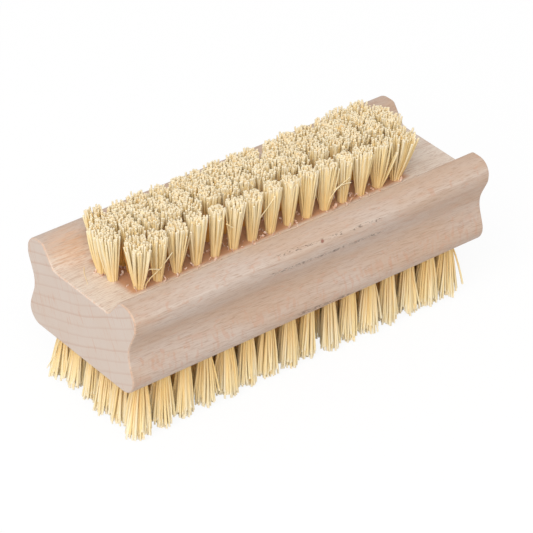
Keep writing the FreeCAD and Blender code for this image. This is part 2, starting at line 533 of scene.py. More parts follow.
@dataclass(frozen=True)
class BeechFinish:
    """Raw sanded beech.

    Sizes and places are in millimetres. A cover is the share of a colour that shows where it is strongest. A
    pair of levels says between which levels of a noise something comes to show. A facing says the same of the
    normal's part along an axis. A span has a start, an end and the width of its soft steps. A reach says how
    far from an edge a soft step begins, and how near to it the step ends. The wall's reach counts from the
    channel's floor and from the rim.
    """

    timber: Timber = Timber()
    pale: Rgb = (210, 191, 177)
    warm: Rgb = (205, 176, 153)
    ring: Rgb = (192, 154, 132)
    vessel: Rgb = (170, 132, 107)
    ray: Rgb = (205, 160, 134)
    end_grain: Rgb = (214, 198, 186)
    # Paler line of the rounded end edges, partly worn edge and partly painted highlight.
    end_edge: Rgb = (228, 190, 160)
    channel: Rgb = (238, 224, 210)
    channel_vessel: Rgb = (182, 136, 102)
    # Colour of the painted shade on the channel floor among the tufts.
    drilled: Rgb = (196, 140, 98)
    # Colour of a painted pool of warm light on the back ridge at the near end.
    flush: Rgb = (228, 182, 144)
    fleck: Rgb = (84, 64, 54)
    knot: Rgb = (150, 92, 76)
    broad_grains: Grains = Grains((26.0, 7.0, 7.0), 0.51, 0.19, 3.0, 0.6)
    blotch_grains: Grains = Grains((7.0, 2.2, 2.2), 0.67, 0.07)
    vessel_grains: Grains = Grains((2.6, 0.14, 0.14), 0.60, 0.09)
    ray_grains: Grains = Grains((1.6, 0.32, 5.0), 0.645, 0.05)
    smudge_grains: Grains = Grains((0.9, 6.0, 2.3), 0.59, 0.07, 0.5)
    fine_cell: Point = (9.0, 0.28, 0.28)
    fine_levels: Pair = (0.50, 0.78)
    channel_levels: Pair = (0.50, 0.70)
    flush_levels: Pair = (0.38, 0.62)
    flush_covers: Pair = (0.15, 1.0)
    chips_per_mm: float = 1.7
    chip_levels: Pair = (0.44, 0.62)
    chip_covers: Pair = (0.05, 0.6)
    blotch_cover: float = 0.35
    smudge_cover: float = 0.42
    end_cover: float = 0.80
    channel_cover: float = 0.75
    ring_line: float = 0.05
    ring_cover: float = 0.22
    end_ring_cover: float = 0.20
    year_covers: Pair = (0.5, 0.9)
    fine_cover: float = 0.42
    channel_calm: float = 0.55
    vessel_cover: float = 0.5
    ray_cover: float = 0.42
    drilled_cover: float = 0.85
    channel_vessel_cover: float = 0.32
    end_facing: Pair = (0.90, 0.99)
    edge_facing: Pair = (0.08, 0.35)
    floor_facing: Pair = (0.2, 0.5)
    edge_reach: Pair = (1.2, 0.5)
    floor_reach: Pair = (1.0, 0.4)
    wall_reach: Pair = (1.2, 0.8)
    smudge_span: Point = (15.5, 22.5, 2.5)
    drilled_along: Point = (-40.5, 35.5, 2.0)
    drilled_across: Point = (-7.8, 8.8, 1.4)
    fleck_rows: FleckRows = FleckRows()
    flush_spot: Spot = Spot((-42.0, 11.5, 33.0), 2.0, 7.5, 0.5)
    knot_spot: Spot = Spot((1.1, -18.2, 33.2), 0.252, 0.546, 0.85)
    rough_levels: Pair = (0.3, 0.7)
    roughness: Pair = (0.50, 0.62)
    end_roughness: float = 0.12
    fine_relief: float = 0.5
    vessel_relief: float = 0.6
    bump_strength: float = 0.35
    bump_depth: float = 0.04
    specular: float = 0.35

    def material(
        self, effects: Effects, half_length: float, floor_level: float, rim_level: float
    ) -> bpy.types.Material:
        """Build the material.

        Args:
            effects: The shared node groups.
            half_length: Half of the block's length.
            floor_level: Height of the channel's floor.
            rim_level: Height of the ridges beside the channel.

        Returns:
            The material.
        """
        material, graph, shader = new_material("raw_beech")
        axes, place = self.timber.axes(graph, effects)
        x, y, z = graph.parts(place)
        end, edge, milled = self._faces(graph, x, z, half_length, floor_level, rim_level)
        side = graph.math("SUBTRACT", 1.0, end)

        patterns = (self.broad_grains, self.blotch_grains, self.vessel_grains, self.ray_grains)
        broad, blotch, vessels, rays = (effects.mask(graph, axes, grains) for grains in patterns)
        smudge = effects.mask(graph, place, self.smudge_grains)
        band = graph.product(graph.span(z, *self.smudge_span), side)
        fine = graph.noise(axes, self.fine_cell, detail=4.0, roughness=0.65)
        sawn = graph.math("SUBTRACT", side, graph.product(milled, self.channel_calm))
        # Painted shade of the tufts on the channel floor among them.
        field = graph.product(graph.span(x, *self.drilled_along), graph.span(y, *self.drilled_across))
        drilled = graph.product(field, milled)
        # Painted pool of warm light on the back ridge at the near end, broken up by the fine grain.
        flush = graph.ramp(fine, *self.flush_levels, *self.flush_covers)
        flush = graph.product(self.flush_spot.mask(graph, place), flush, side)
        # Breaks up the paler end-edge line, which is partly wear and partly a painted highlight.
        wear_and_highlight = graph.noise(graph.scaled(place, self.chips_per_mm))
        wear_and_highlight = graph.ramp(wear_and_highlight, *self.chip_levels, *self.chip_covers)
        marks = self.fleck_rows.mask(graph, x, y, z)
        deep = graph.product(milled, graph.ramp(fine, *self.channel_levels), self.channel_vessel_cover)

        base = graph.tint(
            colour(self.pale),
            (broad, self.warm),
            (graph.product(blotch, side, self.blotch_cover), self.ray),
            (graph.product(smudge, band, self.smudge_cover), self.ray),
            (graph.product(end, self.end_cover), self.end_grain),
            (graph.product(milled, self.channel_cover), self.channel),
            (self._rings(graph, effects, axes, end), self.ring),
            (graph.product(graph.ramp(fine, *self.fine_levels), sawn, self.fine_cover), self.vessel),
            (graph.product(vessels, side, self.vessel_cover), self.vessel),
            (graph.product(rays, self.ray_cover), self.ray),
            (graph.product(drilled, self.drilled_cover), self.drilled),
            (flush, self.flush),
            (deep, self.channel_vessel),
            (graph.product(edge, wear_and_highlight), self.end_edge),
            (marks, self.fleck),
            (self.knot_spot.mask(graph, place), self.knot),
        )
        graph.feed(shader.inputs["Base Color"], base)

        rough = graph.ramp(fine, *self.rough_levels, *self.roughness)
        rough = graph.math("ADD", rough, graph.product(end, self.end_roughness))
        graph.feed(shader.inputs["Roughness"], rough)
        dents = graph.math("ADD", graph.product(vessels, self.vessel_relief), marks)
        relief = graph.math("SUBTRACT", graph.product(fine, self.fine_relief), dents)
        graph.feed(shader.inputs["Normal"], graph.bump(relief, self.bump_strength, self.bump_depth))
        shader.inputs["Specular IOR Level"].default_value = self.specular
        return material

    def _faces(
        self, graph: Graph, x: Any, z: Any, half_length: float, floor_level: float, rim_level: float
    ) -> tuple[bpy.types.NodeSocket, ...]:
        """Masks of the parts of the block.

        Args:
            graph: The material's graph.
            x: Place along the block.
            z: Height.
            half_length: Half of the block's length.
            floor_level: Height of the channel's floor.
            rim_level: Height of the ridges beside the channel.

        Returns:
            The masks of the end faces, of their rounded edges and of the milled channel.
        """
        normal = graph.parts(graph.add("ShaderNodeTexCoord").outputs["Normal"])
        facing = graph.math("ABSOLUTE", normal[0])
        end, rounding = (graph.ramp(facing, *levels) for levels in (self.end_facing, self.edge_facing))
        outermost = graph.ramp(graph.math("ABSOLUTE", x), *(half_length - reach for reach in self.edge_reach))
        edge = graph.product(graph.math("SUBTRACT", rounding, end), outermost)
        inside = graph.ramp(z, floor_level + self.wall_reach[0], rim_level - self.wall_reach[1], 1.0, 0.0)
        above = graph.ramp(z, *(floor_level - reach for reach in self.floor_reach))
        return end, edge, graph.product(graph.ramp(normal[2], *self.floor_facing), inside, above)

    def _rings(self, graph: Graph, effects: Effects, axes: Any, end: Any) -> bpy.types.NodeSocket:
        """Mask of the yearly rings, which show more on the end faces.

        Args:
            graph: The material's graph.
            effects: The shared node groups.
            axes: Place in the wood.
            end: Mask of the end faces.

        Returns:
            The mask.
        """
        rings = graph.group(
            effects.rings, axes=axes, spacing=self.timber.ring_spacing, line=self.ring_line,
            wander=self.timber.ring_wander,
        ).outputs
        line = graph.product(rings["Line"], graph.ramp(rings["Year"], 0.0, 1.0, *self.year_covers))
        cover = graph.math("ADD", self.ring_cover, graph.product(end, self.end_ring_cover))
        return graph.product(line, cover)


@dataclass(frozen=True)
class SplinterFinish:
    """Fresh wood of the torn splinters round the holes that the drill made."""

    timber: Timber = Timber()
    pale: Rgb = (250, 234, 221)
    deep: Rgb = (228, 184, 156)
    patch_cell: Point = (0.5, 0.5, 0.5)
    patch_levels: Pair = (0.35, 0.65)
    lines: Grains = Grains((1.2, 0.12, 0.12), 0.58, 0.1)
    line_cover: float = 0.4
    rough_levels: Pair = (0.3, 0.7)
    roughness: Pair = (0.55, 0.75)

    def material(self, effects: Effects) -> bpy.types.Material:
        """Build the material from the shared node groups."""
        material, graph, shader = new_material("torn_beech")
        axes, place = self.timber.axes(graph, effects)
        patch = graph.noise(place, self.patch_cell)
        lines = effects.mask(graph, axes, self.lines)
        base = graph.tint(
            colour(self.deep),
            (graph.ramp(patch, *self.patch_levels), self.pale),
            (graph.product(lines, self.line_cover), self.deep),
        )
        graph.feed(shader.inputs["Base Color"], base)
        graph.feed(shader.inputs["Roughness"], graph.ramp(patch, *self.rough_levels, *self.roughness))
        return material


@dataclass(frozen=True)
class FibreFinish:
    """Undyed plant fibre, almost white at its cut ends and golden towards its roots, partly in painted shade.

    Body and pale tones are the tones between which those colours come in. Root, inner and end parts are the
    shares of a fibre's length between which those colours come in.
    """

    deep: Rgb = (250, 212, 132)
    body: Rgb = (254, 232, 178)
    pale: Rgb = (255, 241, 206)
    cut_end: Rgb = (254, 243, 220)
    flaw: Rgb = (206, 172, 96)
    # Colour of the painted golden shade on tufts deep in a field.
    inner: Rgb = (250, 190, 92)
    streaks: Grains = Grains((0.14, 0.14, 3.5), 0.55, 0.16)
    spots: Grains = Grains((0.5, 0.5, 1.6), 0.70, 0.05)
    body_tones: Pair = (0.0, 0.55)
    pale_tones: Pair = (0.5, 1.0)
    root_part: Pair = (0.85, 0.15)
    inner_part: Pair = (0.95, 0.3)
    end_part: Pair = (0.90, 1.0)
    streak_cover: float = 0.35
    spot_cover: float = 0.25
    root_cover: float = 0.42
    inner_cover: float = 0.85
    end_cover: float = 0.6
    roughness: Pair = (0.62, 0.52)
    bump_strength: float = 0.3
    bump_depth: float = 0.03
    specular: float = 0.25

    def material(self, effects: Effects) -> bpy.types.Material:
        """Build the material, which reads each fibre's tone and shade and the place along it.

        Args:
            effects: The shared node groups.

        Returns:
            The material.
        """
        material, graph, shader = new_material("plant_fibre")
        tone, along, shade = (
            graph.add("ShaderNodeAttribute", attribute_name=name).outputs["Fac"]
            for name in ("tone", "along", "shade")
        )
        place = graph.scaled(graph.add("ShaderNodeTexCoord").outputs["Object"], 1 / MM)
        streaks, spots = (effects.mask(graph, place, grains) for grains in (self.streaks, self.spots))
        # Painted shade: golden towards the root on tufts inside the field, less on the outermost ones.
        inner = graph.product(shade, graph.ramp(along, *self.inner_part, 0.0, self.inner_cover))
        base = graph.tint(
            colour(self.deep),
            (graph.ramp(tone, *self.body_tones), self.body),
            (graph.ramp(tone, *self.pale_tones), self.pale),
            (graph.product(streaks, self.streak_cover), self.pale),
            (graph.product(spots, self.spot_cover), self.flaw),
            # Darker and more golden towards the root: partly the fibre's own tone, partly painted shade of
            # the tuft's depth.
            (graph.ramp(along, *self.root_part, 0.0, self.root_cover), self.deep),
            (inner, self.inner),
            (graph.ramp(along, *self.end_part, 0.0, self.end_cover), self.cut_end),
        )
        graph.feed(shader.inputs["Base Color"], base)
        graph.feed(shader.inputs["Roughness"], graph.ramp(streaks, 0.0, 1.0, *self.roughness))
        graph.feed(shader.inputs["Normal"], graph.bump(streaks, self.bump_strength, self.bump_depth))
        shader.inputs["Specular IOR Level"].default_value = self.specular
        return material


@dataclass(frozen=True)
class WireFinish:
    """Bright drawn steel of the flat wire anchors."""

    steel: Rgb = (176, 176, 172)
    scratch: Rgb = (122, 122, 120)
    scratches: Grains = Grains((2.0, 0.06, 0.06), 0.55, 0.1)
    roughness: Pair = (0.28, 0.42)
    turn: float = math.radians(45.0)

    def material(self, effects: Effects) -> bpy.types.Material:
        """Build the material from the shared node groups."""
        material, graph, shader = new_material("drawn_steel_wire")
        place = graph.scaled(graph.add("ShaderNodeTexCoord").outputs["Object"], 1 / MM)
        inputs = {"Vector": place, "Angle": self.turn}
        turned = graph.add("ShaderNodeVectorRotate", inputs, rotation_type="Z_AXIS").outputs[0]
        lines = effects.mask(graph, turned, self.scratches)
        graph.feed(shader.inputs["Base Color"], graph.tint(colour(self.steel), (lines, self.scratch)))
        graph.feed(shader.inputs["Roughness"], graph.ramp(lines, 0.0, 1.0, *self.roughness))
        shader.inputs["Metallic"].default_value = 1.0
        return material


class GeometryTree:
    """A Geometry Nodes tree with named inputs, which is run on source points to give a plain mesh."""

    def __init__(self, name: str) -> None:
        """Start a tree with a geometry going in and one coming out."""
        self.tree = bpy.data.node_groups.new(name, "GeometryNodeTree")
        self.tree.is_modifier = True
        for direction in ("INPUT", "OUTPUT"):
            self.tree.interface.new_socket("Geometry", in_out=direction, socket_type="NodeSocketGeometry")
        self.graph = Graph(self.tree)
        self.entry = self.graph.add("NodeGroupInput")

    def input(self, name: str, kind: str = "Float") -> bpy.types.NodeSocket:
        """Add a named input.

        Args:
            name: Its name.
            kind: Its kind of socket.

        Returns:
            The socket that gives its value inside the tree.
        """
        self.tree.interface.new_socket(name, in_out="INPUT", socket_type="NodeSocket" + kind)
        return self.entry.outputs[name]

    def close(self, mesh: bpy.types.NodeSocket, material: bpy.types.NodeSocket) -> None:
        """End the tree with a smooth, realized mesh in one material.

        Args:
            mesh: The geometry that was built.
            material: The material's input socket.
        """
        smooth = self.graph.add("GeometryNodeSetShadeSmooth", {"Geometry": mesh}).outputs[0]
        real = self.graph.add("GeometryNodeRealizeInstances", {"Geometry": smooth}).outputs[0]
        inputs = {"Geometry": real, "Material": material}
        dressed = self.graph.add("GeometryNodeSetMaterial", inputs).outputs[0]
        self.graph.add("NodeGroupOutput", {"Geometry": dressed})

    def run(self, name: str, source: bpy.types.Mesh, values: dict[str, Any]) -> bpy.types.Object:
        """Run the tree once.

        Args:
            name: Name of the piece.
            source: Mesh that the tree works on.
            values: Values of the named inputs.

        Returns:
            An object at the origin with the plain mesh.
        """
        piece = bpy.data.objects.new(name, source)
        bpy.context.scene.collection.objects.link(piece)
        modifier = piece.modifiers.new(name, "NODES")
        modifier.node_group = self.tree
        for socket in self.tree.interface.items_tree:
            if socket.in_out == "INPUT" and socket.name in values:
                modifier[socket.identifier] = values[socket.name]
        graph = bpy.context.evaluated_depsgraph_get()
        mesh = bpy.data.meshes.new_from_object(
            piece.evaluated_get(graph), preserve_all_data_layers=True, depsgraph=graph
        )
        piece.modifiers.clear()
        piece.data = mesh
        mesh.name = name
        LOG.info("%s: %d faces", name, len(mesh.polygons))
        return piece


def fibre_mesh(tree: GeometryTree, curves: Any, radius: Any, scale: Any) -> bpy.types.NodeSocket:
    """Give curves the round section of a fibre.

    Args:
        tree: The tree that holds the curves.
        curves: The fibres' centrelines.
        radius: Radius of a fibre.
        scale: Share of that radius at each point.

    Returns:
        The fibres' mesh.
    """
    inputs = {"Resolution": FIBRE_SIDES, "Radius": radius}
    section = tree.graph.add("GeometryNodeCurvePrimitiveCircle", inputs).outputs[0]
    inputs = {"Curve": curves, "Profile Curve": section, "Scale": scale, "Fill Caps": True}
    return tree.graph.add("GeometryNodeCurveToMesh", inputs).outputs[0]


def keep(tree: GeometryTree, geometry: Any, name: str, value: Any) -> bpy.types.NodeSocket:
    """Store a number on every point for the material to read.

    Args:
        tree: The tree that holds the geometry.
        geometry: The geometry.
        name: Name of the attribute.
        value: The number.

    Returns:
        The geometry with the attribute.
    """
    inputs = {"Geometry": geometry, "Name": name, "Value": value}
    node = tree.graph.add("GeometryNodeStoreNamedAttribute", inputs, data_type="FLOAT", domain="POINT")
    return node.outputs[0]


def copied(tree: GeometryTree, amount: Any) -> bpy.types.Node:
    """Node that repeats every source point of a tree.

    Args:
        tree: The tree.
        amount: How often.

    Returns:
        The node.
    """
    inputs = {"Geometry": tree.entry.outputs["Geometry"], "Amount": amount}
    return tree.graph.add("GeometryNodeDuplicateElements", inputs, domain="POINT")


def capture(tree: GeometryTree, geometry: Any, **fields: Any) -> tuple[Any, dict[str, Any]]:
    """Hold values of points for use after the points have become curves.

    Args:
        tree: The tree that holds the points.
        geometry: The points.
        fields: Sockets by name.

    Returns:
        The geometry, and the held sockets by name.
    """
    node = tree.graph.add("GeometryNodeCaptureAttribute", {"Geometry": geometry}, domain="POINT")
    for name, socket in fields.items():
        node.capture_items.new("VECTOR" if socket.type == "VECTOR" else "FLOAT", name)
    for name, socket in fields.items():
        tree.graph.feed(node.inputs[name], socket)
    return node.outputs["Geometry"], {name: node.outputs[name] for name in fields}


def lines_on(tree: GeometryTree, points: Any, count: int) -> tuple[Any, Any]:
    """Put one straight line with evenly spaced points on each point.

    Args:
        tree: The tree that holds the points.
        points: Where the lines go.
        count: Points of a line.

    Returns:
        The lines, and the share along each line.
    """
    line = tree.graph.add("GeometryNodeCurvePrimitiveLine", {"End": (0.0, 0.0, MM)}).outputs[0]
    line = tree.graph.add("GeometryNodeResampleCurve", {"Curve": line, "Count": count}).outputs[0]
    placed = tree.graph.add("GeometryNodeInstanceOnPoints", {"Points": points, "Instance": line}).outputs[0]
    curves = tree.graph.add("GeometryNodeRealizeInstances", {"Geometry": placed}).outputs[0]
    return curves, tree.graph.add("GeometryNodeSplineParameter").outputs["Factor"]


@dataclass(frozen=True)
class FibreHabit:
    """How the fibres of a tuft differ, as shares of their common sizes."""

    rank_jitter: Pair = (-0.06, 0.04)
    turn_jitter: Pair = (-0.3, 0.3)
    tuft_widths: Pair = (0.85, 1.2)
    short_power: float = 1.8
    stray_drops: Pair = (0.0, 1.2)
    tones: Pair = (0.0, 0.6)
    rim_tone: float = 0.4
    girths: Pair = (0.78, 1.2)
    root_girth: float = 0.88
    tip_girth: float = 0.22
    points: int = 7


def tuft_tree(habit: FibreHabit) -> GeometryTree:
    """Tree that fills every hole mouth of its source with a bundle of spreading fibres.

    Args:
        habit: How the fibres differ.

    Returns:
        The tree.
    """
    tree = GeometryTree("tuft_fibres")
    graph = tree.graph
    count = tree.input("Fibres", "Int")
    names = ("Stem Radius", "Tip Along", "Tip Across", "Shortest", "Longest", "Root Depth", "Facing")
    stem_radius, tip_along, tip_across, shortest, longest, root_depth, facing = map(tree.input, names)
    names = ("Fibre Radius", "Tip Jitter", "Sway", "Bow", "Stray Share", "Stray Reach", "Crown", "Flare")
    fibre_radius, jitter, sway, bow, stray_share, stray_reach, crown, flare = map(tree.input, names)
    seed = tree.input("Seed", "Int")
    material = tree.input("Material", "Material")

    def seeded(number: int) -> Any:
        """Seed of one of the tree's draws."""
        return graph.math("ADD", seed, float(number))

    def around(size: Any, number: int, ident: Any = None) -> Any:
        """Random level vector, up to a size each way."""
        spread = graph.draw(Vector, (-1.0, -1.0, 0.0), (1.0, 1.0, 0.0), seeded(number), ident)
        return graph.scaled(spread, size)

    lean, width, shade = (
        graph.add("GeometryNodeInputNamedAttribute", {"Name": name}, data_type=kind).outputs[0]
        for name, kind in TUFT_ATTRIBUTES.items()
    )
    copies = copied(tree, count)
    order = copies.outputs["Duplicate Index"]
    index = graph.add("GeometryNodeInputIndex").outputs[0]
    tuft = graph.math("FLOOR", graph.math("DIVIDE", graph.math("ADD", index, 0.5), count))

    share = graph.math("SQRT", graph.math("DIVIDE", graph.math("ADD", order, 0.5), count))
    share = graph.math("ADD", share, graph.draw(float, *habit.rank_jitter, seeded(1)))
    share = graph.math("MINIMUM", share, 1.0)
    turn = graph.draw(float, 0.0, math.tau, seeded(2), tuft)
    angle = graph.math("ADD", graph.product(order, GOLDEN_ANGLE), turn)
    angle = graph.math("ADD", angle, graph.draw(float, *habit.turn_jitter, seeded(3)))
    outward = graph.scaled(graph.combined(graph.math("COSINE", angle), graph.math("SINE", angle)), share)
    stem = graph.scaled(outward, stem_radius)

    spread = graph.vector("MULTIPLY", outward, graph.combined(tip_along, tip_across))
    width = graph.product(width, graph.draw(float, *habit.tuft_widths, seeded(4), tuft))
    spread = graph.scaled(spread, width)
    loose = graph.math("LESS_THAN", graph.draw(float, 0.0, 1.0, seeded(5)), stray_share)
    stray = graph.scaled(around(stray_reach, 6), loose)
    tip = graph.total(spread, lean, around(sway, 7, tuft), around(jitter, 8), stray)

    fall = graph.math("POWER", graph.draw(float, 0.0, 1.0, seeded(9)), habit.short_power)
    drop = graph.product(fall, graph.math("SUBTRACT", longest, shortest))
    drop = graph.math("ADD", drop, graph.product(share, share, crown))
    drop = graph.math("ADD", drop, graph.product(crown, graph.draw(float, 0.0, 1.0, seeded(10), tuft)))
    stray_drop = graph.product(loose, stray_reach, graph.draw(float, *habit.stray_drops, seeded(11)))
    length = graph.math("SUBTRACT", longest, graph.math("ADD", drop, stray_drop))
    tone = graph.draw(float, *habit.tones, seeded(13))
    tone = graph.math("ADD", tone, graph.product(share, habit.rim_tone))

    mouth = graph.add("GeometryNodeInputPosition").outputs[0]
    points, held = capture(
        tree, copies.outputs["Geometry"],
        mouth=mouth, stem=stem, tip=tip, bow=around(bow, 12), length=length, shade=shade, tone=tone,
        girth=graph.draw(float, *habit.girths, seeded(14)),
    )
    curves, factor = lines_on(tree, points, habit.points)
    whole = graph.math("ADD", held["length"], root_depth)
    height = graph.math("SUBTRACT", graph.product(whole, factor), root_depth)
    rise = graph.math("MAXIMUM", graph.math("DIVIDE", height, held["length"]), 0.0)
    bend = graph.scaled(held["bow"], graph.product(rise, graph.math("SUBTRACT", 1.0, rise), 4.0))
    open_out = graph.vector("SUBTRACT", held["tip"], held["stem"])
    open_out = graph.scaled(open_out, graph.math("POWER", rise, flare))
    up = graph.combined(0.0, 0.0, graph.product(height, facing))
    place = graph.total(held["mouth"], held["stem"], open_out, bend, up)
    curves = graph.add("GeometryNodeSetPosition", {"Geometry": curves, "Position": place}).outputs[0]
    for name, value in (("along", rise), ("tone", held["tone"]), ("shade", held["shade"])):
        curves = keep(tree, curves, name, value)
    taper = graph.math("ADD", habit.root_girth, graph.product(rise, habit.tip_girth))
    tree.close(fibre_mesh(tree, curves, fibre_radius, graph.product(held["girth"], taper)), material)
    return tree


def splinter_tree() -> GeometryTree:
    """Tree that leaves curled splinters of wood round every hole mouth of its source."""
    sweeps, girths, steps = (0.9, 4.4), (0.5, 1.2), 6
    tree = GeometryTree("mouth_splinters")
    graph = tree.graph
    count = tree.input("Splinters", "Int")
    names = ("Nearest", "Furthest", "Least Curl", "Most Curl", "Width", "Thickness", "Facing")
    nearest, furthest, least_curl, most_curl, width, thickness, facing = map(tree.input, names)
    seed = tree.input("Seed", "Int")
    material = tree.input("Material", "Material")

    def drawn(low: Any, high: Any, number: int) -> Any:
        """Random number of one of the tree's draws."""
        return graph.draw(float, low, high, graph.math("ADD", seed, float(number)))

    copies = copied(tree, count)
    angle, reach = drawn(0.0, math.tau, 1), drawn(nearest, furthest, 2)
    off = graph.scaled(graph.combined(graph.math("COSINE", angle), graph.math("SINE", angle)), reach)
    foot = graph.vector("ADD", graph.add("GeometryNodeInputPosition").outputs[0], off)
    yaw = drawn(0.0, math.tau, 3)
    points, held = capture(
        tree, copies.outputs["Geometry"],
        foot=foot, ahead=graph.combined(graph.math("COSINE", yaw), graph.math("SINE", yaw)),
        aside=graph.combined(graph.product(graph.math("SINE", yaw), -1.0), graph.math("COSINE", yaw)),
        curl=drawn(least_curl, most_curl, 4), sweep=drawn(*sweeps, 5), girth=drawn(*girths, 6),
    )
    curves, factor = lines_on(tree, points, steps)
    turn = graph.product(held["sweep"], factor)
    forward = graph.product(held["curl"], graph.math("SINE", turn))
    lift = graph.product(held["curl"], graph.math("SUBTRACT", 1.0, graph.math("COSINE", turn)))
    lift = graph.product(graph.math("ADD", lift, thickness), facing)
    place = graph.total(
        held["foot"], graph.scaled(held["ahead"], forward),
        graph.scaled(held["aside"], graph.product(factor, width)), graph.combined(0.0, 0.0, lift),
    )
    curves = graph.add("GeometryNodeSetPosition", {"Geometry": curves, "Position": place}).outputs[0]
    inputs = {"Width": thickness, "Height": width}
    section = graph.add("GeometryNodeCurvePrimitiveQuadrilateral", inputs).outputs[0]
    inputs = {"Curve": curves, "Profile Curve": section, "Scale": held["girth"], "Fill Caps": True}
    tree.close(graph.add("GeometryNodeCurveToMesh", inputs).outputs[0], material)
    return tree


def loose_fibre_tree() -> GeometryTree:
    """Tree that makes a fibre of every chain of edges of its source."""
    steps, tones, thinning = 9, (0.6, 1.0), 0.3
    tree = GeometryTree("loose_fibres")
    graph = tree.graph
    radius = tree.input("Fibre Radius")
    seed = tree.input("Seed", "Int")
    material = tree.input("Material", "Material")
    curves = graph.add("GeometryNodeMeshToCurve", {"Mesh": tree.entry.outputs["Geometry"]}).outputs[0]
    curves = graph.add("GeometryNodeCurveSplineType", {"Curve": curves}, spline_type="CATMULL_ROM").outputs[0]
    curves = graph.add("GeometryNodeResampleCurve", {"Curve": curves, "Count": steps}).outputs[0]
    factor = graph.add("GeometryNodeSplineParameter").outputs["Factor"]
    curves = keep(tree, curves, "along", factor)
    curves = keep(tree, curves, "tone", graph.draw(float, *tones, seed))
    taper = graph.math("SUBTRACT", 1.0, graph.product(factor, thinning))
    tree.close(fibre_mesh(tree, curves, radius, taper), material)
    return tree


def settle(piece: bpy.types.Object) -> bpy.types.Object:
    """Let a new piece ride on the brush.

    Args:
        piece: The piece.

    Returns:
        The piece.
    """
    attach(piece, BODY)
    return piece


def dress(node: str, material: bpy.types.Material) -> None:
    """Put one material on a CAD node.

    Args:
        node: Name of the node.
        material: The material.
    """
    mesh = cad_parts[node].data
    mesh.materials.clear()
    mesh.materials.append(material)
    LOG.info("%s: %s", node, material.name)


def points_mesh(name: str, points: list[Vector], edges: Sequence[tuple[int, int]] = ()) -> bpy.types.Mesh:
    """Mesh of loose points, or of chains of edges, in metres."""
    mesh = bpy.data.meshes.new(name)
    mesh.from_pydata(points, edges, [])
    return mesh


@dataclass
class BeechBlock:
    """The grooved block, which keeps its solid's shape. Sizes are in millimetres."""

    node: str = "beech_block"
    channel_depth: float = 4.6

    def build(self, finish: BeechFinish, effects: Effects) -> None:
        """Dress the block.

        Args:
            finish: Its finish.
            effects: The shared node groups.
        """
        _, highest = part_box(self.node)
        rim = highest.z / MM
        dress(self.node, finish.material(effects, highest.x / MM, rim - self.channel_depth, rim))


